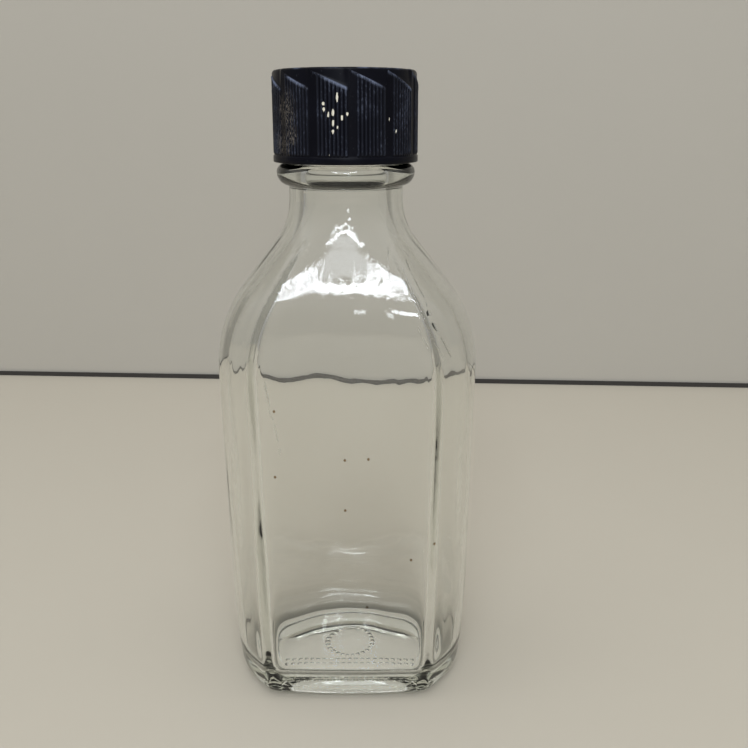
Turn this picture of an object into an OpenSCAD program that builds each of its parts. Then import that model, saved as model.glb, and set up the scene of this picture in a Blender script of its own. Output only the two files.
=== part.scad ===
// Flat-fronted glass reagent bottle with a ribbed screw cap and a two-ply liner.
// Origin: centre of the footprint, on the surface that the bottle stands on.
// +Z runs up the neck, -Y is the flat front panel, +Y the rounded back.

/* [Bottle body] */
// Greatest width of the body, side to side
body_w = 52; // [43:0.1:63]
// Depth of the front panel ahead of the neck's axis
front_depth = 18.2; // [15:0.1:22]
// Depth of the rounded back behind the neck's axis
back_depth = 18.2; // [15:0.1:22]
// Width of the flat front panel between its two upright edges
panel_w = 35.6; // [28:0.1:40]
// Height at which the straight sides end and the shoulder begins
shoulder_start = 69; // [52:0.1:90]
// Radius of the round of the shoulder
shoulder_round = 26.5; // [20:0.5:32]
// Steepest lean of the shoulder from upright, in degrees
shoulder_lean = 38; // [34:1:46]
// Radius of the hollow curve from shoulder to neck
neck_hollow = 12.5; // [8:0.5:14]
// Squareness of the back, where 2 is a true ellipse
back_fullness = 2.15; // [2:0.05:3]
// How long the front and the back stay full up the shoulder, where 1 is as long as the sides
depth_fullness = 1.7; // [1:0.1:2]

/* [Foot] */
// Radius of the round where the sides meet the standing face
heel_round = 3; // [1.5:0.1:4]
// How far each side leans in from the shoulder down to the foot
side_draft = 0.6; // [0:0.05:1.2]
// How far each side draws in at the foot, besides its lean
foot_taper = 1.1; // [0:0.05:2.4]
// How far the front and the back draw in at the foot
foot_taper_depth = 0.4; // [0:0.05:1.2]
// Height over which they draw in
foot_taper_h = 24; // [12:1:36]
// Width of the flat ring that the bottle stands on
standing_ring = 3.2; // [2:0.1:5]
// Height of the raised underside inside the standing ring
push_up = 0.9; // [0.4:0.1:1.6]

/* [Glass thickness] */
// Thickness of the sides, front and back
glass_wall = 2.4; // [1.8:0.1:3.2]
// Thickness of the bottom above the standing ring
glass_base = 3.4; // [2.6:0.1:7]
// Radius inside the bottle between walls and floor
floor_round = 4.2; // [3:0.1:8]
// How far the inside corners are melted towards an ellipse, 0 to 1
inside_softness = 0.1; // [0:0.05:0.6]

/* [Neck finish] */
// Outer diameter of the plain neck
neck_d = 21.8; // [20:0.1:24]
// Diameter of the bore through the neck
bore_d = 15.7; // [12:0.1:19]
// Diameter of the transfer bead under the cap
bead_d = 26.3; // [24:0.1:28]
// Height of the transfer bead
bead_h = 4; // [3:0.1:5]
// Plain neck between the end of the shoulder and the bead
neck_straight = 1.5; // [1:0.1:5]
// Outer diameter of the finish between the threads
finish_d = 21.6; // [18:0.1:23]
// Height of the finish from the bead to the mouth
finish_h = 13.6; // [11:0.1:18]
// Rounding of the lip
lip_round = 0.8; // [0.4:0.1:1.2]

/* [Thread] */
// Rise of the thread in one turn, eight threads to the inch
thread_pitch = 3.175; // [2.6:0.005:4]
// Height of the glass thread above the finish
thread_depth = 1.05; // [0.8:0.05:1.2]
// Turns of thread on the glass
thread_turns = 1.5; // [1:0.25:2]
// Turns of thread inside the cap
cap_thread_turns = 1.5; // [1:0.25:2]
// Gap between each thread's crest and the wall that it faces
thread_gap = 0.3; // [0.2:0.05:0.5]

/* [Cap] */
// Thickness of the skirt behind the ribs
skirt_wall = 1.25; // [0.9:0.05:1.6]
// Thickness of the cap's top
cap_top = 1.6; // [1.2:0.1:2.4]
// Rounding of the cap's upper edge
cap_edge_round = 0.5; // [0.2:0.05:0.9]
// Height of each rib above the skirt
rib_depth = 0.2; // [0.1:0.05:0.4]
// Number of rib groups round the skirt
rib_groups = 12; // [8:1:16]
// Ribs in one group
ribs_per_group = 8; // [4:1:9]
// Width of the smooth gap between two groups, in rib pitches
group_gap = 2; // [1:1:4]
// Height of the plain band round the bottom of the skirt
skirt_band = 1.25; // [0.6:0.05:2.5]
// Distance from the top of the cap to the highest rib
rib_top_drop = 0.8; // [0.6:0.1:2]
// How much lower the last rib of a group ends than the first
rib_slant = 2.7; // [0:0.1:4]
// Gap between the bottom of the skirt and the bead
skirt_gap = 0.3; // [0.2:0.05:1]

/* [Liner] */
// Thickness of the pulp board backing
backing_t = 1; // [0.6:0.05:1.6]
// Thickness of the sealing film that faces the glass
facing_t = 0.2; // [0.1:0.05:0.4]
// Gap between the liner's edge and the skirt
liner_gap = 0.3; // [0.2:0.05:0.5]

/* [Hidden] */

// Smoothness of the true round surfaces and of the moulded body
fine = 96;
ring_points = 60;
heel_steps = 3;
shoulder_steps = 6;
hollow_steps = 4;
thread_steps = 36;

body_half_w = body_w/2;
neck_r = neck_d/2;
bore_r = bore_d/2;
finish_r = finish_d/2;
bead_r = bead_d/2;

// Angles of the plan, measured from +X: the front panel's upright edge and its middle
panel_edge_angle = -54;
front_angle = -90;
// Control points of the slanted front corner, as shares of half width and depth
corner_start = [panel_w/body_w, -1];
corner_reach = [corner_start[0] + 0.165, -0.74];
corner_side = [1, -0.5];
// How slowly the plan turns round as the shoulder narrows
melt_power = 1.4;

// Heights stacked up the bottle
neck_z = shoulder_start + shoulder_rise(body_half_w, neck_r, shoulder_round, neck_hollow);
inner_round = shoulder_round - glass_wall;
inner_hollow = neck_hollow + neck_r - bore_r;
inner_neck_z = shoulder_start + shoulder_rise(body_half_w - glass_wall, bore_r, inner_round, inner_hollow);
shoulder_top_z = max(neck_z, inner_neck_z);
// Where the moulded body runs into the round neck: its height, its depth and the step that hides the seam
join_z = shoulder_top_z + neck_straight/5;
join_depth = 0.4;
join_step = 0.05;
bead_z = shoulder_top_z + neck_straight;
// Share of the bead below its widest line
bead_belly = 0.62;
bead_steps = 6;
finish_z = bead_z + bead_h;
mouth_z = finish_z + finish_h;
// Most of the finish's wall that the lip's round takes up
lip_share = 0.4;
lip_r = min(lip_round, lip_share*(finish_r - bore_r));

// The cap is built down from its ceiling, which the liner touches
liner_t = backing_t + facing_t;
ceiling_z = mouth_z + liner_t;
cap_z = finish_z + skirt_gap;
cap_top_z = ceiling_z + cap_top;
skirt_in_r = finish_r + thread_depth + thread_gap;
skirt_r = skirt_in_r + skirt_wall;
cap_r = skirt_r + rib_depth;
liner_r = skirt_in_r - liner_gap;
rib_pitch = 360/(rib_groups*(ribs_per_group + group_gap));
first_rib_angle = -56;
// Half widths of a rib at its root and its crest, in rib pitches
rib_root_half = 0.42;
rib_crest_half = 0.14;

// Threads: the glass thread starts under the lip, and the cap's runs half a pitch below it
thread_root = 2;
thread_crest = 0.8;
cap_thread_root = 1;
cap_thread_crest = 0.5;
cap_crest_r = finish_r + thread_gap;
thread_under_lip = 0.3;
thread_start_angle = 40;
// How far each thread's root is sunk in its wall, and the share of its length that fades out at each end
sink = 0.3;
fade = 0.12;
thread_low_z = mouth_z - lip_r - thread_root/2 - thread_under_lip - thread_pitch*thread_turns;
// The lowest turn of the cap's thread that clears the skirt's band, midway between the glass thread's turns
cap_thread_base = thread_low_z + thread_pitch/2;
cap_thread_floor = cap_z + skirt_band/2 + cap_thread_root/2;
cap_thread_low_z = cap_thread_base + thread_pitch*ceil((cap_thread_floor - cap_thread_base)/thread_pitch);

// Height gained by a shoulder that narrows from half width a to radius r
function shoulder_rise(a, r, round, hollow) =
    (round + hollow)*sin(shoulder_lean) + shoulder_slope(a, r, round, hollow)*cos(shoulder_lean);

// Length of the straight slope between the shoulder's two curves
function shoulder_slope(a, r, round, hollow) =
    (a - r - (round + hollow)*(1 - cos(shoulder_lean)))/sin(shoulder_lean);

// Stations up the shoulder, each [height, share of the width still to lose]
function shoulder_stations(a, r, round, hollow) =
    let (top = shoulder_start + shoulder_rise(a, r, round, hollow))
    concat(
        [for (k = [1:shoulder_steps])
            let (lean = shoulder_lean*k/shoulder_steps)
            [shoulder_start + round*sin(lean), 1 - round*(1 - cos(lean))/(a - r)]],
        [for (k = [0:hollow_steps])
            let (lean = shoulder_lean*(1 - k/hollow_steps))
            [top - hollow*sin(lean), hollow*(1 - cos(lean))/(a - r)]]);

// Share of the foot's taper that is left at height z
function taper_share(z) = z < foot_taper_h ? pow(1 - z/foot_taper_h, 2) : 0;

// How far each side has drawn in at height z, with its lean
function side_taper(z) = foot_taper*taper_share(z) + side_draft*(1 - z/shoulder_start);

// How far the front and the back have drawn in at height z
function depth_taper(z) = foot_taper_depth*taper_share(z);

// A point between a and b
function mix(a, b, t) = a + (b - a)*t;

// A point on a cubic curve
function curve(a, b, c, d, t) =
    pow(1 - t, 3)*a + 3*pow(1 - t, 2)*t*b + 3*(1 - t)*t*t*c + t*t*t*d;

// Plan of the body on its right side, as shares of half width and depth
function plan_half(angle) =
    angle <= panel_edge_angle
        ? [corner_start[0]*(angle - front_angle)/(panel_edge_angle - front_angle), -1]
    : angle < 0
        ? curve(corner_start, corner_reach, corner_side, [1, 0], 1 - angle/panel_edge_angle)
    : [pow(cos(angle), 2/back_fullness), pow(sin(angle), 2/back_fullness)];

// Whole plan, mirrored, for angles from -90 to 270
function plan(angle) =
    angle > 90 ? let (p = plan_half(180 - angle)) [-p[0], p[1]] : plan_half(angle);

// One closed ring of the moulded body, with its corners melted towards an ellipse
function ring(z, half_w, front, back, melt) =
    [for (k = [0:ring_points - 1])
        let (angle = front_angle + 360*k/ring_points,
             p = mix(plan(angle), [cos(angle), sin(angle)], melt))
        [p[0]*half_w, p[1]*(p[1] < 0 ? front : back), z]];

// Ring at height z of a body skin that lies inset inside the outer one
function body_ring(z, inset, melt, taper_z) =
    ring(z, body_half_w - inset - side_taper(taper_z),
        front_depth - inset - depth_taper(taper_z),
        back_depth - inset - depth_taper(taper_z), melt);

// Rings up a shoulder from the body's plan to the round neck
function shoulder_rings(inset, r, round, hollow, melt) =
    [for (s = shoulder_stations(body_half_w - inset, r, round, hollow))
        let (full = 1 - pow(1 - s[1], depth_fullness))
        ring(s[0],
            mix(r, body_half_w - inset, s[1]),
            mix(r, front_depth - inset, full),
            mix(r, back_depth - inset, full),
            mix(melt, 1, pow(1 - s[1], melt_power)))];

// Rings round a foot or a floor, from its flat out to the walls
function round_rings(z, radius, inset, melt) =
    [for (k = [0:heel_steps])
        let (b = 90*k/heel_steps, h = z + radius*(1 - cos(b)))
        body_ring(h, inset + radius*(1 - sin(b)), melt, h)];

// Rings up the drawn-in part of the sides
function taper_rings(from_z, inset, melt) =
    [for (k = [1:heel_steps])
        let (h = mix(from_z, foot_taper_h, k/heel_steps))
        body_ring(h, inset, melt, h)];

// A closed solid through a list of rings, its two ends closed by fans round the axis
module loft(rings) {
    n = len(rings[0]);
    last = (len(rings) - 1)*n;
    first_hub = last + n;
    last_hub = first_hub + 1;
    hubs = [[0, 0, rings[0][0][2]], [0, 0, rings[len(rings) - 1][0][2]]];
    sides = [for (j = [0:len(rings) - 2], k = [0:n - 1], half = [0, 1])
        let (a = j*n + k, b = j*n + (k + 1)%n)
        half == 0 ? [a, a + n, b] : [b, a + n, b + n]];
    first_fan = [for (k = [0:n - 1]) [first_hub, k, (k + 1)%n]];
    last_fan = [for (k = [0:n - 1]) [last_hub, last + (k + 1)%n, last + k]];
    polyhedron(concat([for (r = rings) each r], hubs), concat(sides, first_fan, last_fan), convexity = 8);
}

// A thread swept up a right-hand helix, thinning away at both ends
module thread(turns, low_z, wall_r, crest_r, root_w, crest_w) {
    steps = ceil(turns*thread_steps);
    inward = crest_r < wall_r ? -1 : 1;
    base_r = wall_r - inward*sink;
    sections = [for (k = [0:steps])
        let (t = k/steps,
             a = thread_start_angle + 360*turns*t,
             z = low_z + thread_pitch*turns*t,
             full = min(1, t/fade, (1 - t)/fade),
             tip = mix(wall_r - inward*sink/2, crest_r, full))
        [for (p = [[base_r, -root_w/2], [tip, -crest_w/2], [tip, crest_w/2], [base_r, root_w/2]])
            [p[0]*cos(a), p[0]*sin(a), z + p[1]]]];
    flip = inward < 0;
    sides = [for (k = [0:steps - 1], j = [0:3], half = [0, 1])
        let (a = 4*k + j, b = 4*k + (j + 1)%4)
        half == 0 ? (flip ? [a, a + 4, b] : [a, b, a + 4])
                  : (flip ? [b, a + 4, b + 4] : [b, b + 4, a + 4])];
    first = flip ? [0, 1, 2, 3] : [3, 2, 1, 0];
    last = [for (i = first) 4*steps + 3 - i];
    polyhedron([for (s = sections) each s], concat(sides, [first, last]), convexity = 8);
}

// Rings of the underside: the raised middle and the flat ring that it stands on
function underside_rings() =
    let (edge = heel_round + standing_ring)
    [body_ring(push_up, edge + push_up, 0, 0), body_ring(0, edge, 0, 0)];

// Rings up the outside, from the standing ring into the neck
function outer_rings() = concat(
    round_rings(0, heel_round, 0, 0),
    taper_rings(heel_round, 0, 0),
    [body_ring(shoulder_start, 0, 0, shoulder_start)],
    shoulder_rings(0, neck_r - join_step, shoulder_round, neck_hollow, 0),
    [ring(join_z + join_depth, neck_r - join_step, neck_r - join_step, neck_r - join_step, 1)]);

// Rings up the hollow, from the floor into the bore
function inner_rings() =
    let (r = bore_r + join_step)
    concat(
        round_rings(glass_base, floor_round, glass_wall, inside_softness),
        taper_rings(glass_base + floor_round, glass_wall, inside_softness),
        [body_ring(shoulder_start, glass_wall, inside_softness, shoulder_start)],
        shoulder_rings(glass_wall, r, inner_round, inner_hollow, inside_softness),
        [ring(join_z + join_depth, r, r, r, 1)]);

// The same rings from the last to the first
function downward(rings) = [for (k = [len(rings) - 1:-1:0]) rings[k]];

// Section of the neck, bead, finish and lip, from the join to the mouth
function neck_section() =
    let (belly_z = bead_z + bead_belly*bead_h, brow = (1 - bead_belly)*bead_h, lip_in = lip_r/2)
    concat(
        [[bore_r, join_z], [neck_r, join_z]],
        [for (k = [bead_steps:-1:0])
            let (b = 90*k/bead_steps)
            [neck_r + (bead_r - neck_r)*cos(b), belly_z - bead_belly*bead_h*sin(b)]],
        [for (k = [1:bead_steps])
            let (b = 90*k/bead_steps)
            [bead_r - brow*(1 - cos(b)), belly_z + brow*sin(b)]],
        [[finish_r, finish_z]],
        [for (k = [0:bead_steps])
            let (b = 90*k/bead_steps)
            [finish_r - lip_r*(1 - cos(b)), mouth_z - lip_r*(1 - sin(b))]],
        [[bore_r + lip_in, mouth_z], [bore_r, mouth_z - lip_in]]);

// Bottle: one piece of moulded glass with a threaded finish
module bottle() color([0.80, 0.88, 0.84, 0.45]) {
    loft(concat(underside_rings(), outer_rings(), downward(inner_rings())));
    rotate_extrude($fn = fine) polygon(neck_section());
    thread(thread_turns, thread_low_z, finish_r, finish_r + thread_depth, thread_root, thread_crest);
}

// Section of the cap's plain shell, from its axis out to the band and down the skirt
function cap_section() =
    let (shoulder_r = skirt_r - cap_edge_round, mouth_chamfer = skirt_wall/4)
    concat(
        [[0, ceiling_z], [skirt_in_r, ceiling_z], [skirt_in_r, cap_z + mouth_chamfer],
            [skirt_in_r + mouth_chamfer, cap_z], [cap_r, cap_z], [cap_r, cap_z + skirt_band],
            [skirt_r, cap_z + skirt_band]],
        [for (k = [0:bead_steps])
            let (b = 90*k/bead_steps)
            [shoulder_r + cap_edge_round*cos(b), cap_top_z - cap_edge_round*(1 - sin(b))]],
        [[0, cap_top_z]]);

// Plan of one rib of every group, each a low wedge on the skirt
module rib_plan(index) {
    root = [skirt_r - rib_depth, rib_root_half*rib_pitch];
    crest = [cap_r, rib_crest_half*rib_pitch];
    for (g = [0:rib_groups - 1])
        rotate(first_rib_angle + g*360/rib_groups + (index + 0.5)*rib_pitch)
            polygon([
                for (p = [[root[0], -root[1]], [crest[0], -crest[1]], crest, root])
                    [p[0]*cos(p[1]), p[0]*sin(p[1])]]);
}

// Cap: moulded black plastic, with grouped ribs outside and a thread inside
module cap() color([0.05, 0.05, 0.06]) {
    rib_foot_z = cap_z + skirt_band/2;
    rotate_extrude($fn = fine) polygon(cap_section());
    for (i = [0:ribs_per_group - 1])
        translate([0, 0, rib_foot_z])
            linear_extrude(cap_top_z - rib_foot_z - rib_top_drop - rib_slant*(i + 0.5)/ribs_per_group)
                rib_plan(i);
    thread(cap_thread_turns, cap_thread_low_z, skirt_in_r, cap_crest_r, cap_thread_root, cap_thread_crest);
}

// Liner backing: a disc of pulp board held in the top of the cap
module liner_backing() color([0.72, 0.64, 0.50])
    translate([0, 0, mouth_z + facing_t])
        cylinder(r = liner_r, h = backing_t, $fn = fine);

// Liner facing: the thin film on the board that seals on the lip
module liner_facing() color([0.88, 0.88, 0.86])
    translate([0, 0, mouth_z])
        cylinder(r = liner_r, h = facing_t, $fn = fine);

bottle();
cap();
liner_backing();
liner_facing();
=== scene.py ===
# A flat-fronted glass reagent bottle with a ribbed black screw cap, put together from the foot up.
import math

import bpy
import numpy as np
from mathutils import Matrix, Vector


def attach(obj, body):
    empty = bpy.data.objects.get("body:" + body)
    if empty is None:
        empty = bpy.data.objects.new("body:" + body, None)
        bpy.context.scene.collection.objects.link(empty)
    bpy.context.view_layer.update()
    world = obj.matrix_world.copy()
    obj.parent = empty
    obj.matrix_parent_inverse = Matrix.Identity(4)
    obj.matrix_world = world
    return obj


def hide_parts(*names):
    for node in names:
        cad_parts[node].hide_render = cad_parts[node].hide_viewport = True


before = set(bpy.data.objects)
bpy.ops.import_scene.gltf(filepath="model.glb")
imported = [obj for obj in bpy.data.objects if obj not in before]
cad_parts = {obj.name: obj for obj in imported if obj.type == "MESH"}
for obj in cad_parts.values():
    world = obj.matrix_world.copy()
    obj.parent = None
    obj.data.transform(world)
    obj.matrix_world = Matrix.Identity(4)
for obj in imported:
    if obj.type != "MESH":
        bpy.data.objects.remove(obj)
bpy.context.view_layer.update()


# ---- Bottle -----------------------------------------------------------------------------------
# Clear pressed and blown glass, flat in front and round behind, with one and a half turns of
# thread on its finish. The outside is crisp where it met the mould, and the inside, which only
# the blowing air touched, is softer and wavy. Sizes are in millimetres, made metres in the mesh.
mm = 0.001
glass_columns = 240
body_half_w, front_depth, back_depth = 26.0, 18.2, 18.2
panel_share = 35.6 / 52.0
panel_edge = -54.0
back_fullness = 2.15
panel_edge_softness = 1.3

shoulder_start = 69.0
shoulder_lean = math.radians(38.0)
shoulder_round, neck_hollow = 26.5, 12.5
depth_fullness, melt_power = 1.7, 2.0
neck_r, bore_r = 10.9, 7.85

heel_round, standing_ring, push_up = 3.0, 3.2, 0.9
side_draft, foot_taper, foot_taper_depth, foot_taper_h = 0.6, 1.1, 0.4, 24.0
foot_roundness, foot_round_h = 0.28, 9.0
glass_wall, glass_base, floor_round, inside_softness = 2.4, 3.4, 4.2, 0.1

neck_top_z, bead_z, bead_h, bead_r, bead_belly = 102.8, 104.3, 4.0, 13.15, 0.62
finish_r, finish_z, mouth_z, lip_round = 10.8, 108.3, 121.9, 0.8
thread_pitch, thread_turns, thread_depth = 3.175, 1.5, 1.05
thread_root, thread_crest, thread_start, thread_low_z = 2.0, 0.8, 40.0, 115.04
thread_fade = 0.12

around = np.radians(-90.0 + 360.0 * np.arange(glass_columns) / glass_columns)


def smoothstep(value, low, high):
    """0 below low, 1 above high, and an easy curve between them."""
    share = np.clip((value - low) / (high - low), 0.0, 1.0)
    return share * share * (3.0 - 2.0 * share)


def softened(points, spread, closed):
    """Points averaged with their neighbours, which rounds off a corner."""
    reach = int(math.ceil(3 * spread))
    weights = np.exp(-0.5 * (np.arange(-reach, reach + 1) / spread) ** 2)
    weights /= weights.sum()
    padded = np.pad(points, ((reach, reach), (0, 0)), mode="wrap" if closed else "edge")
    return sum(w * padded[k : k + len(points)] for k, w in enumerate(weights))


def body_plan():
    """The body seen from above, as shares of its half width and depth, one point to a column."""
    angle = -90.0 + 360.0 * np.arange(glass_columns) / glass_columns
    mirrored = angle > 90.0
    right = np.where(mirrored, 180.0 - angle, angle)
    t = np.clip(1.0 - right / panel_edge, 0.0, 1.0)[:, None]
    corner = (
        (1 - t) ** 3 * np.array([panel_share, -1.0])
        + 3 * (1 - t) ** 2 * t * np.array([panel_share + 0.165, -0.74])
        + 3 * (1 - t) * t**2 * np.array([1.0, -0.5])
        + t**3 * np.array([1.0, 0.0])
    )
    panel = np.stack([panel_share * (right + 90.0) / (panel_edge + 90.0), -np.ones_like(right)], 1)
    quarter = np.radians(np.clip(right, 0.0, 90.0))
    back = np.stack([np.cos(quarter), np.sin(quarter)], 1) ** (2.0 / back_fullness)
    plan = np.where((right <= panel_edge)[:, None], panel, np.where((right < 0)[:, None], corner, back))
    plan[:, 0] *= np.where(mirrored, -1.0, 1.0)
    return softened(plan, panel_edge_softness, closed=True)


plan = body_plan()
circle = np.stack([np.cos(around), np.sin(around)], 1)


def glass_ring(z, half_w, front, back, melt):
    """One ring of the body at height z, its plan melted towards an ellipse."""
    shape = plan + (circle - plan) * melt
    depth = np.where(shape[:, 1] < 0, front, back)
    return np.stack([shape[:, 0] * half_w, shape[:, 1] * depth, np.full(glass_columns, z)], 1)


def body_ring(z, inset, melt, taper_z=None):
    """A ring of a skin that lies inset inside the outer one, drawn in and rounder towards the foot."""
    h = z if taper_z is None else taper_z
    melt = melt + (1.0 - melt) * foot_roundness * max(0.0, 1.0 - h / foot_round_h) ** 2
    share = (1.0 - h / foot_taper_h) ** 2 if h < foot_taper_h else 0.0
    in_sides = inset + foot_taper * share + side_draft * (1.0 - h / shoulder_start)
    in_depth = inset + foot_taper_depth * share
    return glass_ring(z, body_half_w - in_sides, front_depth - in_depth, back_depth - in_depth, melt)


def round_rings(z, radius, inset, melt, count):
    """Rings round the heel or the floor's edge, from its flat out to the walls."""
    turns = [math.pi / 2 * k / count for k in range(count + 1)]
    return [
        body_ring(z + radius * (1 - math.cos(b)), inset + radius * (1 - math.sin(b)), melt)
        for b in turns
    ]


def shoulder_rings(inset, r, round_r, hollow, melt, counts):
    """Rings up the shoulder: its round, its slope and the hollow that runs into the neck."""
    half = body_half_w - inset
    slope = (half - r - (round_r + hollow) * (1 - math.cos(shoulder_lean))) / math.sin(shoulder_lean)
    top = shoulder_start + (round_r + hollow) * math.sin(shoulder_lean) + slope * math.cos(shoulder_lean)
    stations = [
        (shoulder_start + round_r * math.sin(a), 1 - round_r * (1 - math.cos(a)) / (half - r))
        for a in (shoulder_lean * k / counts[0] for k in range(1, counts[0] + 1))
    ]
    above = [
        (top - hollow * math.sin(a), hollow * (1 - math.cos(a)) / (half - r))
        for a in (shoulder_lean * (1 - k / counts[2]) for k in range(counts[2] + 1))
    ]
    low, high = stations[-1], above[0]
    stations += [
        (low[0] + (high[0] - low[0]) * k / counts[1], low[1] + (high[1] - low[1]) * k / counts[1])
        for k in range(1, counts[1])
    ]
    rings = []
    for z, share in stations + above:
        late = 1 - max(0.0, 1 - share) ** depth_fullness
        depths = [r + (full - inset - r) * late for full in (front_depth, back_depth)]
        melted = melt + (1 - melt) * max(0.0, 1 - share) ** melt_power
        rings.append(glass_ring(z, r + (half - r) * share, *depths, melted))
    return rings


def section_rings(section, spread, step):
    """Rings of a round stretch, from a profile of radii and heights that is smoothed and cut evenly."""
    line = np.array(section, float)
    for gap in (0.06, step):
        run = np.concatenate([[0], np.cumsum(np.hypot(*np.diff(line, axis=0).T))])
        at = np.linspace(0, run[-1], int(run[-1] / gap) + 2)
        line = np.stack([np.interp(at, run, line[:, k]) for k in (0, 1)], 1)
        if gap < step and spread > 0:
            ends = line[[0, -1]].copy()
            line = softened(line, spread / gap, closed=False)
            line[[0, -1]] = ends
    return [np.column_stack([circle * r, np.full(glass_columns, z)]) for r, z in line]


def glass_thread(z):
    """How far the thread stands out of the finish at height z, for every column."""
    stands = np.zeros(glass_columns)
    for lap in range(3):
        turned = np.degrees(around) + 360.0 * lap - thread_start
        share = turned / (360.0 * thread_turns)
        away = np.abs(z - (thread_low_z + thread_pitch * turned / 360.0))
        full = np.clip(np.minimum(share, 1 - share) / thread_fade, 0.0, 1.0)
        rise = 1.0 - smoothstep(away, thread_crest / 2, thread_root / 2)
        stands = np.maximum(stands, thread_depth * full * rise)
    return stands


def waves(turn, z, table):
    """Slow ripples left in the glass: each row is size, waves round, height of one wave, phase."""
    return sum(a * np.cos(n * turn + 2 * np.pi * z / tall + lag) for a, n, tall, lag in table)


inner_waves = [
    (0.030, 11, 41.0, 0.3), (0.026, 17, -67.0, 1.9), (0.022, 23, 90.0, 4.1), (0.06, 5, -120.0, 2.2)
]
outer_waves = [(0.010, 13, 58.0, 1.1), (0.008, 19, -83.0, 3.7), (0.007, 29, 35.0, 5.2)]
settle_z, settle_size, settle_width = 31.0, 0.06, 2.6

outside = [body_ring(push_up, heel_round + standing_ring + push_up, 0, 0)]
outside.append(body_ring(push_up / 2, heel_round + standing_ring + push_up * 0.42, 0, 0))
outside.append(body_ring(0.06, heel_round + standing_ring + 0.05, 0, 0))
outside += [body_ring(0.0, heel_round + standing_ring - k, 0, 0) for k in (0.4, 1.6, 2.8)]
outside += round_rings(0.0, heel_round, 0, 0, 10)
outside += [body_ring(z, 0, 0) for z in np.linspace(heel_round, shoulder_start, 56)[1:]]
outside += shoulder_rings(0, neck_r, shoulder_round, neck_hollow, 0, (26, 7, 13))

belly_z, brow = bead_z + bead_belly * bead_h, (1 - bead_belly) * bead_h
quarter_turns = [math.pi / 2 * k / 12 for k in range(13)]
bead = [(neck_r, outside[-1][0, 2] + 0.3), (neck_r, bead_z - 0.4)]
bead += [
    (neck_r + (bead_r - neck_r) * math.cos(b), belly_z - bead_belly * bead_h * math.sin(b))
    for b in reversed(quarter_turns)
]
bead += [(bead_r - brow * (1 - math.cos(b)), belly_z + brow * math.sin(b)) for b in quarter_turns]
bead += [(finish_r, finish_z), (finish_r, finish_z + 1.2)]
neck = section_rings(bead, 0.16, 0.3)

finish = []
for z in np.arange(finish_z + 1.35, mouth_z - lip_round - 0.02, 0.145):
    out = finish_r + glass_thread(z)
    finish.append(np.column_stack([circle * out[:, None], np.full(glass_columns, z)]))
lip = [(finish_r, mouth_z - lip_round)]
lip += [
    (finish_r - lip_round * (1 - math.cos(b)), mouth_z - lip_round * (1 - math.sin(b)))
    for b in quarter_turns[::2]
]
lip += [
    (bore_r + 0.4 * (1 - math.sin(b)), mouth_z - 0.4 * (1 - math.cos(b))) for b in quarter_turns[::3]
]
lip += [(bore_r, mouth_z - 1.0)]
mouth = section_rings(lip, 0, 0.3)
bore = [
    np.column_stack([circle * bore_r, np.full(glass_columns, z)])
    for z in np.linspace(mouth_z - 2.0, neck_top_z + 0.5, 12)
]

inner_round, inner_hollow = shoulder_round - glass_wall, neck_hollow + neck_r - bore_r
inside = [body_ring(glass_base, glass_wall + floor_round + k, inside_softness) for k in (6.0, 3.5, 1.5)]
inside += round_rings(glass_base, floor_round, glass_wall, inside_softness, 12)
inside += [
    body_ring(z, glass_wall, inside_softness)
    for z in np.linspace(glass_base + floor_round, shoulder_start, 50)[1:]
]
inside += shoulder_rings(glass_wall, bore_r, inner_round, inner_hollow, inside_softness, (24, 7, 13))


def rippled(rings, table, settle):
    """Rings pushed along their outward direction by the ripples, which die away at foot and neck."""
    made = []
    for ring in rings:
        z = ring[0, 2]
        ahead, behind = np.roll(ring, -1, 0), np.roll(ring, 1, 0)
        out = np.stack([(ahead - behind)[:, 1], -(ahead - behind)[:, 0]], 1)
        out /= np.linalg.norm(out, axis=1)[:, None]
        calm = smoothstep(z, 4.0, 14.0) * (1 - smoothstep(z, 88.0, 103.0))
        push = calm * waves(around, z, table)
        line = settle_z + 2.2 * np.sin(around * 2 + 0.7) + 1.1 * np.sin(around * 7 + 2.0)
        push -= settle * calm * np.exp(-(((z - line) / settle_width) ** 2))
        moved = ring.copy()
        moved[:, :2] += out * push[:, None]
        made.append(moved)
    return made


def closed_skin(name, rings, first_hub, last_hub):
    """A mesh object through a list of rings, its two ends closed by fans round a hub point."""
    columns = len(rings[0])
    points = np.concatenate(rings + [[first_hub], [last_hub]]) * mm
    row = np.arange(len(rings) - 1)[:, None] * columns
    here, after = np.arange(columns), (np.arange(columns) + 1) % columns
    sides = np.stack([row + here, row + after, row + after + columns, row + here + columns], -1)
    hub, last = len(rings) * columns, (len(rings) - 1) * columns
    faces = sides.reshape(-1, 4).tolist()
    faces += [(hub, int(b), int(a)) for a, b in zip(here, after)]
    faces += [(hub + 1, int(last + a), int(last + b)) for a, b in zip(here, after)]
    mesh = bpy.data.meshes.new(name)
    mesh.from_pydata(points.tolist(), [], faces)
    mesh.shade_smooth()
    made = bpy.data.objects.new(name, mesh)
    bpy.context.scene.collection.objects.link(made)
    return made


outside, inside = rippled(outside, outer_waves, 0.0), rippled(inside, inner_waves, settle_size)
bottle_rings = outside + neck + finish + mouth + bore + inside[::-1]
bottle = closed_skin("bottle_glass", bottle_rings, [0, 0, push_up], [0, 0, glass_base])


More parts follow.
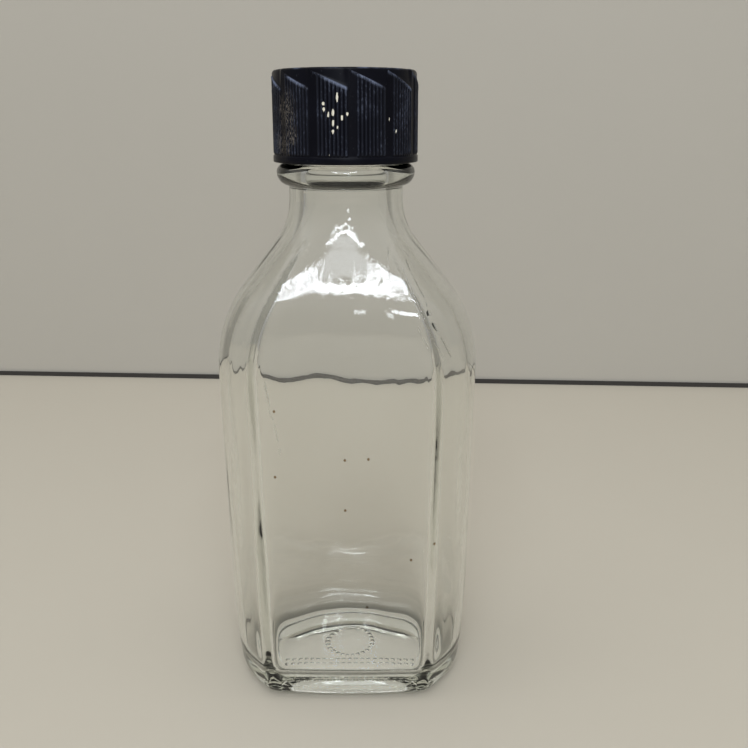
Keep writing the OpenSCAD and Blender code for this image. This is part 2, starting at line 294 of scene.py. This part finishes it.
class Wire:
    """One output of a node. Sums written on wires add the Math nodes that work them out."""

    def __init__(self, tree, socket):
        self.tree, self.socket = tree, socket

    def output(self, name):
        return Wire(self.tree, self.socket.node.outputs[name])

    def maths(self, operation, *others):
        return self.tree.maths(operation, self, *others)

    def __add__(self, other):
        return self.maths("ADD", other)

    def __sub__(self, other):
        return self.maths("SUBTRACT", other)

    def __rsub__(self, other):
        return self.tree.maths("SUBTRACT", other, self)

    def __mul__(self, other):
        return self.maths("MULTIPLY", other)

    def __truediv__(self, other):
        return self.maths("DIVIDE", other)

    def __lt__(self, other):
        return self.maths("LESS_THAN", other)

    def __gt__(self, other):
        return self.maths("GREATER_THAN", other)

    __radd__, __rmul__ = __add__, __mul__


class Tree:
    """A node tree under construction, in a material or in Geometry Nodes."""

    def __init__(self, nodes_of):
        self.tree = nodes_of
        self.tree.nodes.clear()

    def node(self, kind, settings=None, sockets=None, out=0):
        """Adds one node: its settings first, then the values or wires of its sockets."""
        made = self.tree.nodes.new(kind)
        for name, value in (settings or {}).items():
            if name == "stops":
                ramp = made.color_ramp.elements
                while len(ramp) < len(value):
                    ramp.new(0.5)
                for stop, (place, shade) in zip(ramp, value):
                    stop.position, stop.color = place, (shade, shade, shade, 1)
            else:
                setattr(made, name, value)
        for name, value in (sockets or {}).items():
            if isinstance(value, Wire):
                self.tree.links.new(value.socket, made.inputs[name])
            else:
                made.inputs[name].default_value = value
        return Wire(self, made.outputs[out]) if len(made.outputs) else made

    def maths(self, operation, *values):
        return self.node("ShaderNodeMath", {"operation": operation}, dict(enumerate(values)))

    def colour_mix(self, share, first, second):
        return self.node("ShaderNodeMix", {"data_type": "RGBA"}, {0: share, 6: first, 7: second}, 2)

    def eased(self, value, low, high):
        """0 below low, 1 above high, and an easy curve between them."""
        steps = {"Value": value, "From Min": low, "From Max": high}
        return self.node("ShaderNodeMapRange", {"interpolation_type": "SMOOTHSTEP"}, steps)

    def stretched(self, place, scale, turn=(0, 0, 0)):
        return self.node("ShaderNodeMapping", {}, {"Vector": place, "Scale": scale, "Rotation": turn})

    def noise(self, place, scale, detail=3.0, rough=0.55):
        values = {"Vector": place, "Scale": scale, "Detail": detail, "Roughness": rough}
        return self.node("ShaderNodeTexNoise", {}, values)


def new_material(name):
    """A node material with nothing in it yet, and its tree."""
    made = bpy.data.materials.new(name)
    made.use_nodes = True
    return made, Tree(made.node_tree)


# The glass is faintly green where it is thick. It carries a thin haze of handling, long fine
# scratches on the shoulder, brown specks shut in the surface, and stippled dots pressed under
# the foot, where such a bottle is marked.
glass, g = new_material("clear_glass")
place = g.node("ShaderNodeTexCoord", out="Object")
spot = g.node("ShaderNodeSeparateXYZ", {}, {0: place})
x, y, z = spot, spot.output("Y"), spot.output("Z")

haze = g.eased(g.noise(g.stretched(place, (1, 1, 0.45)), 95.0, 5.0, 0.6), 0.50, 0.74)
wipes = g.eased(g.noise(g.stretched(place, (1, 1, 0.12), (0, 0.5, 0)), 520.0, 3.0), 0.55, 0.8)
scratch_ends = [
    ((0.0105, 0.0905), (0.0185, 0.0735)),
    ((0.0078, 0.0925), (0.0083, 0.0885)),
    ((0.0135, 0.0805), (0.0152, 0.0768)),
    ((-0.0150, 0.0700), (-0.0125, 0.0560)),
]
scratch = None
for start, end in scratch_ends:
    run = math.dist(start, end)
    along = ((x - start[0]) * (end[0] - start[0]) + (z - start[1]) * (end[1] - start[1])) / run
    aside = ((x - start[0]) * (end[1] - start[1]) - (z - start[1]) * (end[0] - start[0])) / run
    sway = (g.noise(place, 120.0, 2.0) - 0.5) * 0.0012
    near = 1.0 - g.eased((aside + sway).maths("ABSOLUTE"), 0.00003, 0.00011)
    line = near * (along > 0.0) * (along < run) * (y < -0.005)
    scratch = line if scratch is None else scratch.maths("MAXIMUM", line)
broken = g.eased(g.noise(place, 900.0, 2.0), 0.40, 0.55)
scratch = scratch * broken

across = g.node("ShaderNodeCombineXYZ", {}, {0: x, 1: z * 0.8})
seeds = g.node(
    "ShaderNodeTexVoronoi", {"voronoi_dimensions": "2D"}, {"Vector": across, "Scale": 230.0}
)
few = g.node("ShaderNodeSeparateColor", {}, {0: seeds.output("Color")})
speck = (1.0 - g.eased(seeds, 0.040, 0.075)) * (few > 0.90) * (y < -0.0169) * (z > 0.02)

from_axis = (x * x + y * y).maths("SQRT")
ring_beads = (y.maths("ARCTAN2", x) * 26.0).maths("COSINE") * 0.5 + 0.5
ring_beads = ring_beads * (1.0 - g.eased((from_axis - 0.0052).maths("ABSOLUTE"), 0.0002, 0.0005))
row_beads = (x * 4500.0).maths("COSINE") * 0.5 + 0.5
in_rows = ((y + 0.0073).maths("ABSOLUTE") - 0.0008).maths("ABSOLUTE")
row_beads = row_beads * (1.0 - g.eased(in_rows, 0.0002, 0.0005)) * (x.maths("ABSOLUTE") < 0.0145)
dotted = (ring_beads + row_beads) * (z < 0.0016)
orange_peel = g.noise(g.stretched(place, (1, 1, 0.8)), 330.0, 2.0)
pressed = g.eased(z, 0.078, 0.088) * (1.0 - g.eased(z, 0.094, 0.1)) * (y < -0.006)
relief = (
    orange_peel * (0.000006 + 0.000030 * pressed)
    + g.noise(place, 60.0, 2.0) * 0.00002
    + dotted * 0.00022
    - scratch * 0.00003
    + g.noise(place, 1100.0, 3.0) * pressed * 0.00002
)
bump = g.node("ShaderNodeBump", {}, {"Strength": 1.0, "Distance": 1.0, "Height": relief})
tint = g.colour_mix(speck, (0.998, 1.0, 0.998, 1), (0.16, 0.07, 0.02, 1))
glass_shader = g.node(
    "ShaderNodeBsdfPrincipled",
    {},
    {
        "Base Color": tint,
        "Roughness": 0.004 + haze * 0.02 + wipes * haze * 0.03 + scratch * 0.35,
        "IOR": 1.52,
        "Transmission Weight": 1.0,
        "Normal": bump,
    },
)
depth_tint = g.node("ShaderNodeVolumeAbsorption", {}, {"Color": (0.50, 0.58, 0.40, 1), "Density": 22.0})
g.node("ShaderNodeOutputMaterial", {}, {"Surface": glass_shader, "Volume": depth_tint})
bottle.data.materials.append(glass)
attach(bottle, "bottle")
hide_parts("bottle")


# ---- Cap --------------------------------------------------------------------------------------
# One moulding of glossy black plastic: a threaded skirt under a flat top. Outside it has twelve
# groups of eight fine ribs. Each group ends under a slanting ridge, and above the ridge the skirt
# is cut back in a smooth three-cornered facet. Years of use have greyed the high places.
cap_groups, ribs_in_group, pitches_in_group = 12, 8, 10
columns_to_pitch = 6
cap_columns = cap_groups * pitches_in_group * columns_to_pitch
first_group_angle = -84.6
cap_low_z, cap_high_z, ceiling_z = 108.6, 124.71, 123.1
skirt_inside_r, skirt_r, band_r, band_h = 12.15, 13.40, 13.62, 1.22
rib_depth, edge_round = 0.2, 0.45
ridge_drop, ridge_fall, facet_cut = 0.45, 3.25, 0.085
cap_thread_r, cap_thread_low_z, cap_thread_root = 11.1, 110.28, 1.0

cap_turn = np.arange(cap_columns) / columns_to_pitch
cap_angle = np.radians(first_group_angle + cap_turn * 360.0 / (cap_groups * pitches_in_group))
cap_circle = np.stack([np.cos(cap_angle), np.sin(cap_angle)], 1)


def cap_thread(z):
    """How far the thread stands in from the skirt at height z, for every column."""
    stands = np.zeros(cap_columns)
    for lap in range(-1, 3):
        turned = np.degrees(cap_angle) + 360.0 * lap - thread_start
        share = turned / (360.0 * thread_turns)
        away = np.abs(z - (cap_thread_low_z + thread_pitch * turned / 360.0))
        full = np.clip(np.minimum(share, 1 - share) / thread_fade, 0.0, 1.0)
        rise = 1.0 - smoothstep(away, 0.25, cap_thread_root / 2)
        stands = np.maximum(stands, (skirt_inside_r - cap_thread_r) * full * rise)
    return stands


rib_foot_z, edge_z = cap_low_z + band_h + 0.1, cap_high_z - edge_round
profile = [(r, ceiling_z, -1.0) for r in (3.0, 7.0, 11.0, 11.8)]
profile += [(12.03, 123.06, -1.0), (skirt_inside_r, 122.85, -1.0)]
profile += [(skirt_inside_r, z, -1.0) for z in np.arange(122.6, cap_low_z + 0.75, -0.21)]
profile += [(12.2, cap_low_z + 0.45, -1.0), (12.4, cap_low_z + 0.08, -1.0), (12.6, cap_low_z, -1.0)]
profile += [(band_r - 0.14, cap_low_z, -1.0), (band_r - 0.04, cap_low_z + 0.04, -1.0)]
profile += [(band_r, cap_low_z + 0.14, -1.0), (band_r, cap_low_z + band_h * 0.55, -1.0)]
profile += [(band_r - 0.01, cap_low_z + band_h - 0.08, -1.0), (band_r - 0.05, cap_low_z + band_h, -1.0)]
profile += [(skirt_r + 0.06, cap_low_z + band_h + 0.03, -1.0)]
profile += [(skirt_r, rib_foot_z, c) for c in [0.0, 0.012, 0.03, *np.linspace(0.06, 0.96, 29), 0.985, 1.0]]
profile += [(skirt_r, rib_foot_z, c) for c in [1.03, 1.12, 1.3, 1.5, 1.7, 1.85, 2.0]]
profile += [
    (skirt_r - edge_round * (1 - math.cos(b)), edge_z + edge_round * math.sin(b), 2.0 + k / 6)
    for k, b in ((k, math.pi / 2 * k / 6) for k in range(1, 7))
]
profile += [(12.6, cap_high_z, 3.3), (12.2, cap_high_z, 3.7), (11.6, cap_high_z - 0.02, -1.0)]
profile += [(r, cap_high_z - 0.03, -1.0) for r in (9.0, 6.0, 3.0, 1.2)]

cap_rings = []
for radius, height, climb in profile:
    out = np.full(cap_columns, float(radius))
    if climb < 0 and radius == skirt_inside_r:
        out -= cap_thread(height)
    cap_rings.append(np.column_stack([cap_circle * out[:, None], np.full(cap_columns, height)]))
cap = closed_skin("cap_shell", cap_rings, [0, 0, ceiling_z], [0, 0, cap_high_z - 0.03])
turn_of = np.concatenate([np.tile(cap_turn, len(profile)), [0, 0]])
climb_of = np.concatenate([np.repeat([p[2] for p in profile], cap_columns), [-1, -1]])
for name, values in (("turn", turn_of), ("climb", climb_of)):
    cap.data.attributes.new(name, "FLOAT", "POINT").data.foreach_set("value", values.astype("f"))


class Ribbing(Tree):
    """The cap's Geometry Nodes: they raise the ribs, lay the ridges and cut the facets."""

    def __init__(self, sizes):
        super().__init__(bpy.data.node_groups.new("grip_ribs", "GeometryNodeTree"))
        face = self.tree.interface
        face.new_socket(name="Geometry", in_out="INPUT", socket_type="NodeSocketGeometry")
        self.names = {}
        for name, value in sizes.items():
            kind = "NodeSocketMaterial" if isinstance(value, bpy.types.Material) else "NodeSocketFloat"
            self.names[name] = face.new_socket(name=name, in_out="INPUT", socket_type=kind).identifier
        face.new_socket(name="Geometry", in_out="OUTPUT", socket_type="NodeSocketGeometry")
        self.given = self.node("NodeGroupInput", out="Geometry")

    def named(self, name):
        return self.node("GeometryNodeInputNamedAttribute", {"data_type": "FLOAT"}, {"Name": name})

    def kept(self, geometry, name, value):
        settings = {"data_type": "FLOAT", "domain": "POINT"}
        sockets = {"Geometry": geometry, "Name": name, "Value": value}
        return self.node("GeometryNodeStoreNamedAttribute", settings, sockets)


black, b = new_material("black_plastic")
cap_sizes = {
    "Ribs": float(ribs_in_group),
    "Pitches": float(pitches_in_group),
    "First rib": 1.5,
    "Rib depth": rib_depth * mm,
    "Foot height": rib_foot_z * mm,
    "Top height": cap_high_z * mm,
    "Edge height": edge_z * mm,
    "Ridge drop": ridge_drop * mm,
    "Ridge fall": ridge_fall * mm,
    "Facet cut": facet_cut,
    "Draft": 0.006,
    "Material": black,
}
r = Ribbing(cap_sizes)
size = r.given.output
turn, climb = r.named("turn"), r.named("climb")
in_group = turn.maths("MODULO", size("Pitches"))
rib_place = in_group - size("First rib")
ribbed = (rib_place > -0.01) * (rib_place < size("Ribs") - 0.01)
across = rib_place.maths("FRACT") - 0.5
wedge = (1.0 - r.eased(across.maths("ABSOLUTE"), 0.12, 0.46)) * ribbed
fall = in_group / size("Pitches")
ridge_z = size("Top height") - size("Ridge drop") - size("Ridge fall") * fall
on_ridge = 1.0 - r.eased(in_group, 8.9, 9.6)
low_share = climb.maths("MINIMUM", 1.0)
high_share = r.node("ShaderNodeClamp", {}, {"Value": climb - 1.0})
skirt_z = (
    size("Foot height")
    + (ridge_z - size("Foot height")) * low_share
    + (size("Edge height") - ridge_z) * high_share
)
standing = r.eased(climb, 0.0, 0.03) * (1.0 - r.eased(climb, 0.985, 1.03)) * wedge
lean_in = (skirt_z - ridge_z).maths("MAXIMUM", 0.0) * size("Facet cut")
lean_in = lean_in * (1.0 - r.eased(climb, 3.0, 4.0)) * (1.0 - r.eased(in_group, 8.2, 9.9))
ridge_line = r.eased(climb, 0.955, 1.0) * (1.0 - r.eased(climb, 1.0, 1.12)) * on_ridge
push = standing * size("Rib depth") + ridge_line * 0.00007 - lean_in
push = push - (skirt_z - size("Foot height")) * size("Draft")
rest = r.node("GeometryNodeInputPosition")
parts = r.node("ShaderNodeSeparateXYZ", {}, {0: rest})
flat = r.node("ShaderNodeCombineXYZ", {}, {0: parts, 1: parts.output("Y")})
old_r = r.node("ShaderNodeVectorMath", {"operation": "LENGTH"}, {0: flat}, "Value")
grown = (old_r + push) / old_r.maths("MAXIMUM", 0.0001)
on_skirt = climb < 2.001
new_z = skirt_z * on_skirt + parts.output("Z") * (1.0 - on_skirt)
moved = r.node(
    "ShaderNodeCombineXYZ", {}, {0: parts * grown, 1: parts.output("Y") * grown, 2: new_z}
)
shaped = r.node(
    "GeometryNodeSetPosition", {}, {"Geometry": r.given, "Selection": climb > -0.5, "Position": moved}
)
top_edge = r.eased(climb, 2.15, 2.6) * (1.0 - r.eased(climb, 2.8, 3.3))
shaped = r.kept(shaped, "crest", standing * standing * standing)
shaped = r.kept(shaped, "ridge", ridge_line)
shaped = r.kept(shaped, "edge", top_edge)
shaped = r.kept(shaped, "groove", ribbed * (climb > 0.0) * (climb < 1.0) - standing)
shaped = r.node("GeometryNodeRealizeInstances", {}, {"Geometry": shaped})
shaped = r.node("GeometryNodeSetMaterial", {}, {"Geometry": shaped, "Material": size("Material")})
r.node("NodeGroupOutput", {}, {"Geometry": shaped})

ribbing = cap.modifiers.new("grip_ribs", "NODES")
ribbing.node_group = r.tree
for name, value in cap_sizes.items():
    ribbing[r.names[name]] = value
built = bpy.data.meshes.new_from_object(cap.evaluated_get(bpy.context.evaluated_depsgraph_get()))
cap.modifiers.remove(ribbing)
cap.data = built
built.name = "cap_shell"
built.set_sharp_from_angle(angle=math.radians(50))

# Flecks of cream paint and a patch of tan dust sit on the skirt where it was handled: each row
# is the angle from the front, the height, the half width and the half height.
flecks = [
    (-14.2, 118.8, 0.26, 0.42), (-13.9, 117.8, 0.27, 0.36), (-10.6, 117.0, 0.24, 0.40),
    (-7.1, 117.3, 0.28, 0.68), (-3.9, 119.8, 0.22, 0.85), (-0.5, 116.5, 0.20, 0.45),
    (3.4, 117.1, 0.24, 0.38), (-7.1, 115.6, 0.26, 0.62), (-7.3, 114.2, 0.25, 0.40),
    (-3.9, 114.9, 0.14, 0.34), (-10.8, 113.0, 0.18, 0.12), (-10.0, 110.4, 0.16, 0.12),
    (36.9, 116.1, 0.12, 0.30), (43.5, 114.2, 0.10, 0.20), (53.2, 113.7, 0.10, 0.10),
]
spots = np.empty(len(built.vertices) * 3, dtype="f")
built.vertices.foreach_get("co", spots)
spots = spots.reshape(-1, 3) / mm
front_angle = np.degrees(np.arctan2(spots[:, 0], -spots[:, 1]))
on_wall = np.hypot(spots[:, 0], spots[:, 1]) > 12.9
fleck_depth = np.zeros(len(spots))
for angle, height, half_w, half_h in flecks:
    sideways = np.radians(front_angle - angle) * 13.5 / half_w
    depth = 1.0 - np.hypot(sideways, (spots[:, 2] - height) / half_h) ** 2
    fleck_depth = np.maximum(fleck_depth, np.clip(depth * 1.6, 0.0, 1.0))
dust_depth = np.zeros(len(spots))
dust_patches = [(-49, 117.5, 2.6, 4.0), (-54, 112.0, 2.4, 2.6), (-43, 113.5, 1.6, 2.0)]
for angle, height, half_w, half_h in dust_patches:
    sideways = np.radians(front_angle - angle) * 13.4 / half_w
    reach = np.hypot(sideways, (spots[:, 2] - height) / half_h)
    dust_depth = np.maximum(dust_depth, 1.0 - smoothstep(reach, 0.2, 1.25))
for name, values in (("fleck", fleck_depth * on_wall), ("dust", dust_depth * on_wall)):
    built.attributes.new(name, "FLOAT", "POINT").data.foreach_set("value", values.astype("f"))


def attribute(tree, name):
    return tree.node("ShaderNodeAttribute", {"attribute_name": name}, out="Fac")


place = b.node("ShaderNodeTexCoord", out="Object")
height = b.node("ShaderNodeSeparateXYZ", {}, {0: place}).output("Z")
crest, ridge, edge = attribute(b, "crest"), attribute(b, "ridge"), attribute(b, "edge")
groove, fleck, dust = attribute(b, "groove"), attribute(b, "fleck"), attribute(b, "dust")
streaks = b.noise(b.stretched(place, (1, 1, 0.35)), 5200.0, 4.0, 0.75)
patches = b.noise(place, 210.0, 4.0, 0.6)
scuff = b.eased(streaks + patches * 0.7, 0.86, 1.05)
worn_ribs = crest * (scuff * 0.26 + 0.045)
worn_ridges = ridge * b.eased(patches + streaks * 0.5, 0.62, 0.90) * 0.75
worn_edge = edge * b.eased(patches + streaks * 0.4, 0.70, 0.9) * 0.6
worn = b.node("ShaderNodeClamp", {}, {"Value": worn_ribs + worn_ridges + worn_edge})
grime = dust * b.eased(streaks, 0.49, 0.60) * (0.35 + groove * 0.4)
grime = b.node("ShaderNodeClamp", {}, {"Value": grime})
lint = b.eased(b.noise(b.stretched(place, (1, 1, 0.6)), 4200.0, 2.0), 0.70, 0.76) * 0.35
plastic = b.colour_mix(patches, (0.0016, 0.0018, 0.0038, 1), (0.0034, 0.0038, 0.0078, 1))
plastic = b.colour_mix(worn, plastic, (0.17, 0.20, 0.29, 1))
plastic = b.colour_mix(lint, plastic, (0.10, 0.10, 0.115, 1))
plastic = b.colour_mix(grime, plastic, (0.27, 0.235, 0.19, 1))
painted = b.eased(fleck + (streaks - 0.5) * 0.5, 0.30, 0.42)
plastic = b.colour_mix(painted, plastic, (0.80, 0.76, 0.64, 1))
flow = b.noise(b.stretched(place, (1, 1, 0.6)), 420.0, 3.0)
relief = flow * 0.000025 + patches * 0.00003 - worn * streaks * 0.00002 + painted * 0.00006
cap_shader = b.node(
    "ShaderNodeBsdfPrincipled",
    {},
    {
        "Base Color": plastic,
        "Roughness": 0.26 + patches * 0.12 + worn * 0.30 + grime * 0.45 + painted * 0.3,
        "IOR": 1.45,
        "Specular IOR Level": 0.11,
        "Normal": b.node("ShaderNodeBump", {}, {"Strength": 1.0, "Distance": 1.0, "Height": relief}),
    },
)
b.node("ShaderNodeOutputMaterial", {}, {"Surface": cap_shader})
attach(cap, "cap")
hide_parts("cap")


# ---- Liner backing ----------------------------------------------------------------------------
# A stamped disc of grey-brown pulp board that lies loose in the cap's top. Its cut edge shows
# the layers of the board.
disc_columns = 192
liner_r, backing_low_z, backing_t = 11.85, 122.1, 1.0
disc_angle = np.radians(360.0 * np.arange(disc_columns) / disc_columns)
disc_circle = np.stack([np.cos(disc_angle), np.sin(disc_angle)], 1)


def stamped_disc(name, profile, hub_low, hub_high):
    """A thin round piece turned from its profile of radii and heights, from below to above."""
    rings = [np.column_stack([disc_circle * r, np.full(disc_columns, z)]) for r, z in profile]
    return closed_skin(name, rings, [0, 0, hub_low], [0, 0, hub_high])


high_z = backing_low_z + backing_t
under = [(r, backing_low_z) for r in (2.0, 5.0, 7.3, 8.1, 8.9, 9.7, 10.4, 11.2, 11.7)]
rim = [(liner_r - 0.03, backing_low_z + 0.03), (liner_r, backing_low_z + 0.12)]
rim += [(liner_r - 0.015 * (k % 2), backing_low_z + 0.12 + 0.076 * k) for k in range(1, 10)]
rim += [(liner_r, high_z - 0.12), (liner_r - 0.05, high_z - 0.02), (liner_r - 0.15, high_z)]
over = [(r, high_z) for r in (10.5, 8.0, 5.0, 2.0)]
backing = stamped_disc("liner_board", under + rim + over, backing_low_z, high_z)

pulp, p = new_material("pulp_board")
place = p.node("ShaderNodeTexCoord", out="Object")
fibre = p.noise(p.stretched(place, (1, 0.35, 1)), 1400.0, 5.0, 0.7)
cross = p.noise(p.stretched(place, (0.35, 1, 1)), 1100.0, 5.0, 0.7)
layers = p.noise(p.stretched(place, (0.2, 0.2, 3.5)), 1500.0, 2.0)
mottle = p.noise(place, 260.0, 4.0)
shade = p.eased(fibre * 0.5 + cross * 0.5, 0.36, 0.64)
board = p.colour_mix(shade, (0.30, 0.235, 0.155, 1), (0.50, 0.42, 0.30, 1))
board = p.colour_mix(p.eased(layers, 0.5, 0.7) * 0.35, board, (0.24, 0.18, 0.12, 1))
board = p.colour_mix(p.eased(mottle, 0.60, 0.75) * 0.5, board, (0.58, 0.53, 0.44, 1))
relief = fibre * 0.00005 + cross * 0.00004 + layers * 0.00003
pulp_shader = p.node(
    "ShaderNodeBsdfPrincipled",
    {},
    {
        "Base Color": board,
        "Roughness": 0.82 + mottle * 0.12,
        "Normal": p.node("ShaderNodeBump", {}, {"Strength": 1.0, "Distance": 1.0, "Height": relief}),
    },
)
p.node("ShaderNodeOutputMaterial", {}, {"Surface": pulp_shader})
backing.data.materials.append(pulp)
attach(backing, "liner")
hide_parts("liner_backing")


# ---- Liner facing -----------------------------------------------------------------------------
# The thin white film glued under the board, which is what touches the glass. The lip has left
# its ring on it: a polished track, faintly grey across its width.
facing_low_z, facing_t, lip_track = 121.9, 0.2, (8.3, 10.2)
facing = stamped_disc(
    "liner_film",
    [(r, facing_low_z) for r in (2.0, 5.0, 7.6)]
    + [(8.0, facing_low_z + 0.004), (8.3, facing_low_z + 0.012), (9.2, facing_low_z + 0.014)]
    + [(10.0, facing_low_z + 0.012), (10.4, facing_low_z + 0.004), (11.0, facing_low_z)]
    + [(liner_r - 0.05, facing_low_z + 0.01), (liner_r, facing_low_z + 0.06)]
    + [(liner_r, facing_low_z + 0.16), (liner_r - 0.04, facing_low_z + facing_t)]
    + [(r, facing_low_z + facing_t) for r in (10.5, 8.0, 5.0, 2.0)],
    facing_low_z,
    facing_low_z + facing_t,
)

film, f = new_material("sealing_film")
place = f.node("ShaderNodeTexCoord", out="Object")
spot = f.node("ShaderNodeSeparateXYZ", {}, {0: place})
from_axis = (spot * spot + spot.output("Y") * spot.output("Y")).maths("SQRT")
in_track = f.eased(from_axis, lip_track[0] * mm, (lip_track[0] + 0.3) * mm) * (
    1.0 - f.eased(from_axis, (lip_track[1] - 0.3) * mm, lip_track[1] * mm)
)
wrinkle = f.noise(f.stretched(place, (1, 0.6, 1)), 420.0, 4.0, 0.6)
stain = f.eased(f.noise(place, 150.0, 4.0), 0.55, 0.75)
white = f.colour_mix(stain, (0.78, 0.77, 0.73, 1), (0.66, 0.60, 0.48, 1))
white = f.colour_mix(in_track * (0.25 + wrinkle * 0.4), white, (0.55, 0.55, 0.54, 1))
film_shader = f.node(
    "ShaderNodeBsdfPrincipled",
    {},
    {
        "Base Color": white,
        "Roughness": 0.46 + wrinkle * 0.14 - in_track * 0.22,
        "Normal": f.node(
            "ShaderNodeBump",
            {},
            {"Strength": 1.0, "Distance": 1.0, "Height": wrinkle * 0.00004 - in_track * 0.00003},
        ),
    },
)
f.node("ShaderNodeOutputMaterial", {}, {"Surface": film_shader})
facing.data.materials.append(film)
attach(facing, "liner")
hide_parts("liner_facing")


# ---- Floor, backdrop, lights and camera -------------------------------------------------------
# A plain pale table with a pale board standing behind it, lit by the room, an overhead soft
# box, a small round lamp and a window with a bright frame, high in front. The board is painted
# darker towards its ends, a painted shade, with a painted shadow line at its foot. A small card
# under the glass throws light up through the foot: it is paler than the table and glows faintly,
# a painted pool of light seen through the foot. None of them is part of the object.
# The backdrop is painted darker towards its sides, the darkening widening towards the back: painted shade.
ends_from, ends_to, view_widening = 0.10, 0.17, 0.442
shadow_colour = (0.012, 0.014, 0.008, 1)


def stage_sheet(name, corners, colour, rough, falloff=0.0, glow=0.0):
    """A flat matt sheet of the studio. The falloff darkens it towards its ends as painted shade, and any
    glow is painted light.
    """
    mesh = bpy.data.meshes.new(name)
    mesh.from_pydata(corners, [], [tuple(range(len(corners)))])
    made = bpy.data.objects.new(name, mesh)
    bpy.context.scene.collection.objects.link(made)
    paint, s = new_material(name)
    grain = s.noise(s.node("ShaderNodeTexCoord", out="Object"), 14.0, 3.0)
    shade = s.colour_mix(grain, tuple(c * 0.97 for c in colour) + (1,), tuple(colour) + (1,))
    sideways = s.node("ShaderNodeSeparateXYZ", {}, {0: s.node("ShaderNodeTexCoord", out="Object")})
    spread = sideways.output("Y").maths("MAXIMUM", 0.0) * view_widening
    ends = s.eased(sideways.maths("ABSOLUTE") - spread, ends_from, ends_to) * falloff
    shade = s.colour_mix(ends, shade, shadow_colour)
    finish = {"Base Color": shade, "Roughness": rough, "Emission Color": shade, "Emission Strength": glow}
    matt = s.node("ShaderNodeBsdfPrincipled", {}, finish)
    s.node("ShaderNodeOutputMaterial", {}, {"Surface": matt})
    mesh.materials.append(paint)
    return made


wall_y, wall_turn, wall_reach, air_gap = 0.196, 0.054, 0.42, 0.00008
table_reach, card_half_w, card_half_depth = 1.2, 0.0200, 0.0136
wall_left, wall_right = wall_y + wall_turn * wall_reach, wall_y - wall_turn * wall_reach
table = [(a * table_reach, b * table_reach, -air_gap) for a, b in ((-1, -1), (1, -1), (1, 1), (-1, 1))]
stage_sheet("table", table, (0.50, 0.462, 0.384), 0.6)
# The card under the glass is much paler than the table and glows faintly: a painted pool of light, seen
# through the foot.
card = [(a * card_half_w, b * card_half_depth, -air_gap / 2) for a, b in plan]
stage_sheet("painted_light_card", card, (0.93, 0.88, 0.78), 0.8, glow=0.22)
for name, height, ahead, colour in (
    ("backdrop", 0.9, 0.0, (0.445, 0.420, 0.366)),
    # A thin dark strip at the board's foot is a painted shadow line where board and table meet.
    ("backdrop_shadow_line", 0.0021, 0.0008, (0.03, 0.027, 0.024)),
):
    left, right = (-wall_reach, wall_left - ahead), (wall_reach, wall_right - ahead)
    stage_sheet(name, [(*left, 0.0), (*right, 0.0), (*right, height), (*left, height)], colour, 0.7, 0.35)


def soft_box(name, place, target, width, height, power, colour):
    """A rectangular soft light aimed at a point."""
    lamp = bpy.data.lights.new(name, "AREA")
    lamp.shape, lamp.size, lamp.size_y = "RECTANGLE", width, height
    lamp.energy, lamp.color = power, colour
    made = bpy.data.objects.new(name, lamp)
    made.location = place
    made.rotation_euler = (Vector(target) - Vector(place)).to_track_quat("-Z", "Y").to_euler()
    bpy.context.scene.collection.objects.link(made)
    return made


def toward(turn, rise, away, height=0.09):
    """A place round the bottle, by its angle from the front, its angle above level and its distance."""
    turn, rise = math.radians(turn), math.radians(rise)
    flat = away * math.cos(rise)
    return flat * math.sin(turn), -flat * math.cos(turn), away * math.sin(rise) + height


aim = (0.0, 0.0, 0.09)
# The window's frame is a row of small boxes, two to each stretch between its corners, and a few
# more along its sill, under a wide faint pane. Each pair is an angle from the front and an angle
# above level. The shoulder mirrors the frame as an outline with a haze in it.
blue_white, frame_glow, pane_glow = (0.86, 0.92, 1.0), 19.0, 2.6
box_side, pane_w, pane_h = 0.062, 0.60, 0.30
window_corners = [
    (-26, 46), (-19, 40.5), (-12, 34), (-6, 30), (0, 29), (4, 31), (9, 36.5), (16, 42.5), (23, 48)
]
sill_boxes = [(-14.5, 33), (-8.5, 32), (8.5, 32.5), (15, 34)]
frame_boxes = [window_corners[-1], *sill_boxes]
for corner, following in zip(window_corners, window_corners[1:]):
    middle = ((corner[0] + following[0]) / 2, (corner[1] + following[1]) / 2)
    frame_boxes += [corner, middle]
box_power, pane_power = frame_glow * math.pi * box_side**2, pane_glow * math.pi * pane_w * pane_h
for k, (turned, rise) in enumerate(frame_boxes):
    place = toward(turned, rise, 1.1)
    soft_box(f"window_frame_{k}", place, aim, box_side, box_side, box_power, blue_white)
soft_box("window_pane", toward(-2, 43, 1.15), aim, pane_w, pane_h, pane_power, blue_white)
soft_box("round_lamp", toward(6.6, 14.3, 1.1), aim, 0.085, 0.085, 0.40, blue_white)
soft_box("top_box", (-0.1, -0.10, 1.0), (0, 0.05, 0.0), 0.9, 0.7, 2.6, (0.98, 0.985, 1.0))

world = bpy.data.worlds.new("studio")
world.use_nodes = True
w = Tree(world.node_tree)
way = w.node("ShaderNodeSeparateXYZ", {}, {0: w.node("ShaderNodeTexCoord", out="Generated")})
above = w.eased(way.output("Z"), 0.05, 0.70)
sky = w.colour_mix(above, (0.31, 0.300, 0.282, 1), (0.76, 0.752, 0.742, 1))
w.node("ShaderNodeOutputWorld", {}, {0: w.node("ShaderNodeBackground", {}, {"Color": sky, "Strength": 1.0})})
bpy.context.scene.world = world

lens = bpy.data.cameras.new("camera")
lens.lens, lens.sensor_width = 38.79, 36.0
lens.clip_start = 0.01
camera = bpy.data.objects.new("camera", lens)
camera.location = (0.00535, -0.158, 0.1169)
camera.rotation_euler = (math.radians(90.0 - 17.8), 0.0, 0.0)
bpy.context.scene.collection.objects.link(camera)
bpy.context.scene.camera = camera
bpy.context.scene.view_settings.view_transform = "Standard"

bpy.context.view_layer.update()
